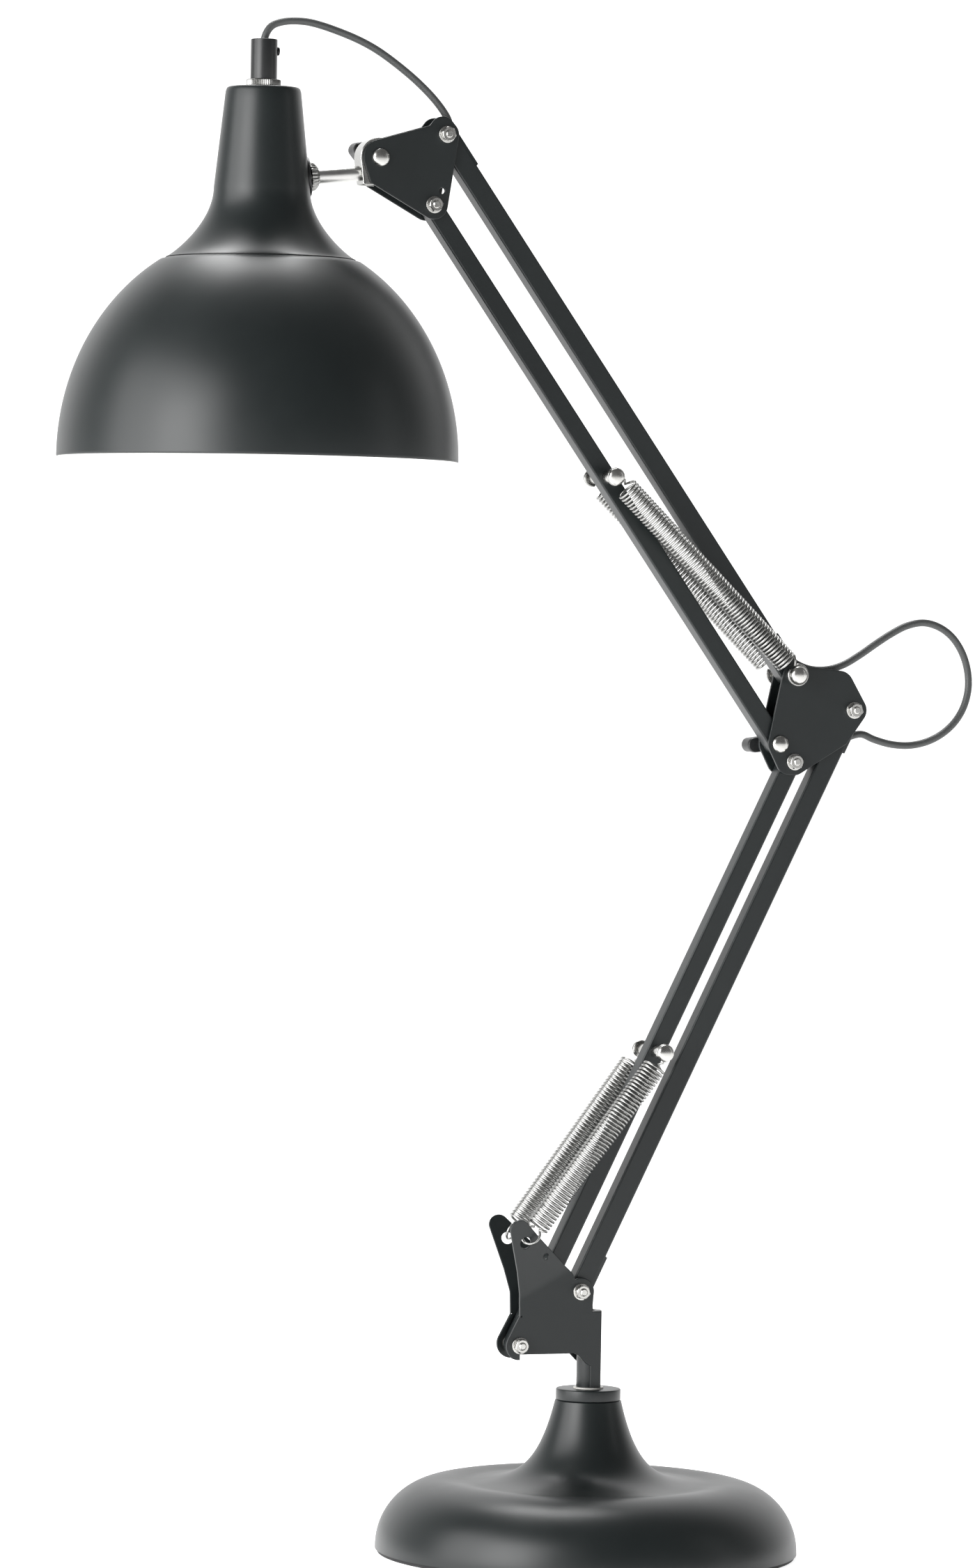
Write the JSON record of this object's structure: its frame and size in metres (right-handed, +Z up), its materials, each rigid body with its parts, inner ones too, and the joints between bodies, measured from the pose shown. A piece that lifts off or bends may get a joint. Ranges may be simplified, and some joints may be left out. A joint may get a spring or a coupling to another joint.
{
  "type": "desk lamp",
  "caption": "Balanced desk lamp: a dome shade on two spring-balanced parallelogram arms of square tube, which swivel on a weighted round base.",
  "frame": {"origin": "centre of the base's underside", "axes": "+Z up, arms in the XZ plane, shade towards -X, wing knobs on the +Y side"},
  "size_m": [0.5123, 0.224, 0.8058],
  "materials": {
    "satin_black": "satin",
    "weight_iron": "raw",
    "pad_rubber": "matt",
    "zinc_steel": "zinc plated",
    "nickel": "nickel plated",
    "bright_chrome": "polished",
    "spring_wire": "nickel plated",
    "nylon": "moulded",
    "black_plastic": "moulded",
    "holder_shell": "moulded",
    "brass_tube": "turned",
    "flex_sheath": "smooth sheath",
    "black_screw": "black oxide"
  },
  "bodies": {
    "base": {"base_cover": "satin_black", "base_weight": "weight_iron", "base_pad": "pad_rubber", "socket_tube": "zinc_steel", "socket_nut": "zinc_steel", "collar_ring": "satin_black", "swivel_bush": "nylon", "cable_grommet": "pad_rubber", "flex_base": "flex_sheath"},
    "post": {"post_stub": "satin_black", "post_plate_near": "satin_black", "post_plate_far": "satin_black", "post_bolts": "nickel", "post_nuts": "nickel", "post_washers": "nickel", "post_spacers": "nylon", "flex_entry": "flex_sheath", "lower_spring_near": "spring_wire", "lower_spring_far": "spring_wire"},
    "lower_rear": {"lower_rear_bar": "satin_black", "flex_lower": "flex_sheath"},
    "lower_front": {"lower_front_bar": "satin_black", "lower_spring_pin": "nickel"},
    "elbow": {"elbow_plate_near": "satin_black", "elbow_plate_far": "satin_black", "elbow_bolts": "nickel", "elbow_nuts": "nickel", "elbow_washers": "nickel", "elbow_spacers": "nylon", "spring_anchor": "nickel", "elbow_clamp_screw": "nickel", "flex_elbow": "flex_sheath", "upper_spring_near": "spring_wire", "upper_spring_far": "spring_wire"},
    "elbow_wing": {"elbow_knob": "black_plastic"},
    "upper_rear": {"upper_rear_bar": "satin_black", "flex_upper": "flex_sheath"},
    "upper_front": {"upper_front_bar": "satin_black", "upper_spring_pin": "nickel"},
    "head": {"head_plate_near": "satin_black", "head_plate_far": "satin_black", "head_bolts": "nickel", "head_nuts": "nickel", "head_washers": "nickel", "head_spacers": "nylon", "head_clamp_screw": "nickel"},
    "head_wing": {"head_knob": "black_plastic"},
    "tilt_yoke": {"yoke": "bright_chrome", "stem": "bright_chrome", "stem_nut": "nickel"},
    "shade": {"shade_neck": "satin_black", "shade_dome": "satin_black", "saddle_washer": "black_plastic", "cup_washer": "bright_chrome", "carrier_tube": "brass_tube", "lampholder": "holder_shell", "knurled_ring": "nickel", "cord_grip": "black_plastic", "grip_screw": "black_screw", "flex_head": "flex_sheath"}
  },
  "joints": [
    {"name": "base_swivel", "type": "hinge", "parent": "base", "child": "post", "pos_m": [0, 0, 0.0888], "axis": [0, 0, 1], "range_deg": [-170, 170]},
    {"name": "lower_arm", "type": "hinge", "parent": "post", "child": "lower_rear", "pos_m": [-0.008, 0, 0.14], "axis": [0, 1, 0], "range_deg": [-45, 8], "deforming": ["lower_spring_near", "lower_spring_far", "flex_entry", "flex_elbow"]},
    {"name": "lower_link", "type": "hinge", "parent": "post", "child": "lower_front", "pos_m": [-0.042, 0, 0.112], "axis": [0, 1, 0], "range_deg": [-45, 8], "deforming": ["lower_spring_near", "lower_spring_far"]},
    {"name": "elbow_level", "type": "hinge", "parent": "lower_rear", "child": "elbow", "pos_m": [0.14302, 0, 0.44964], "axis": [0, 1, 0], "range_deg": [-8, 45], "deforming": ["flex_elbow"]},
    {"name": "elbow_knob_turn", "type": "hinge", "parent": "elbow", "child": "elbow_wing", "pos_m": [0.10052, 0, 0.43113], "axis": [0, 1, 0], "range_deg": [-180, 180]},
    {"name": "upper_arm", "type": "hinge", "parent": "elbow", "child": "upper_rear", "pos_m": [0.10702, 0, 0.46814], "axis": [0, 1, 0], "range_deg": [-55, 16], "deforming": ["upper_spring_near", "upper_spring_far", "flex_elbow", "flex_head"]},
    {"name": "upper_link", "type": "hinge", "parent": "elbow", "child": "upper_front", "pos_m": [0.10052, 0, 0.43113], "axis": [0, 1, 0], "range_deg": [-55, 16], "deforming": ["upper_spring_near", "upper_spring_far"]},
    {"name": "head_level", "type": "hinge", "parent": "upper_rear", "child": "head", "pos_m": [-0.09401, 0, 0.7479], "axis": [0, 1, 0], "range_deg": [-16, 55], "deforming": ["flex_head"]},
    {"name": "head_knob_turn", "type": "hinge", "parent": "head", "child": "head_wing", "pos_m": [-0.13051, 0, 0.7344], "axis": [0, 1, 0], "range_deg": [-180, 180]},
    {"name": "head_tilt", "type": "hinge", "parent": "head", "child": "tilt_yoke", "pos_m": [-0.13051, 0, 0.7344], "axis": [0, 1, 0], "range_deg": [-6, 50], "deforming": ["flex_head"]},
    {"name": "shade_swivel", "type": "hinge", "parent": "tilt_yoke", "child": "shade", "pos_m": [-0.13971, 0, 0.726], "axis": [0.9945, 0, 0.1045], "range_deg": [-45, 45], "deforming": ["flex_head"]}
  ],
  "couplings": [
    {"joint": "lower_link", "follows": "lower_arm", "ratio": 1},
    {"joint": "elbow_level", "follows": "lower_arm", "ratio": -1},
    {"joint": "upper_link", "follows": "upper_arm", "ratio": 1},
    {"joint": "head_level", "follows": "upper_arm", "ratio": -1}
  ]
}
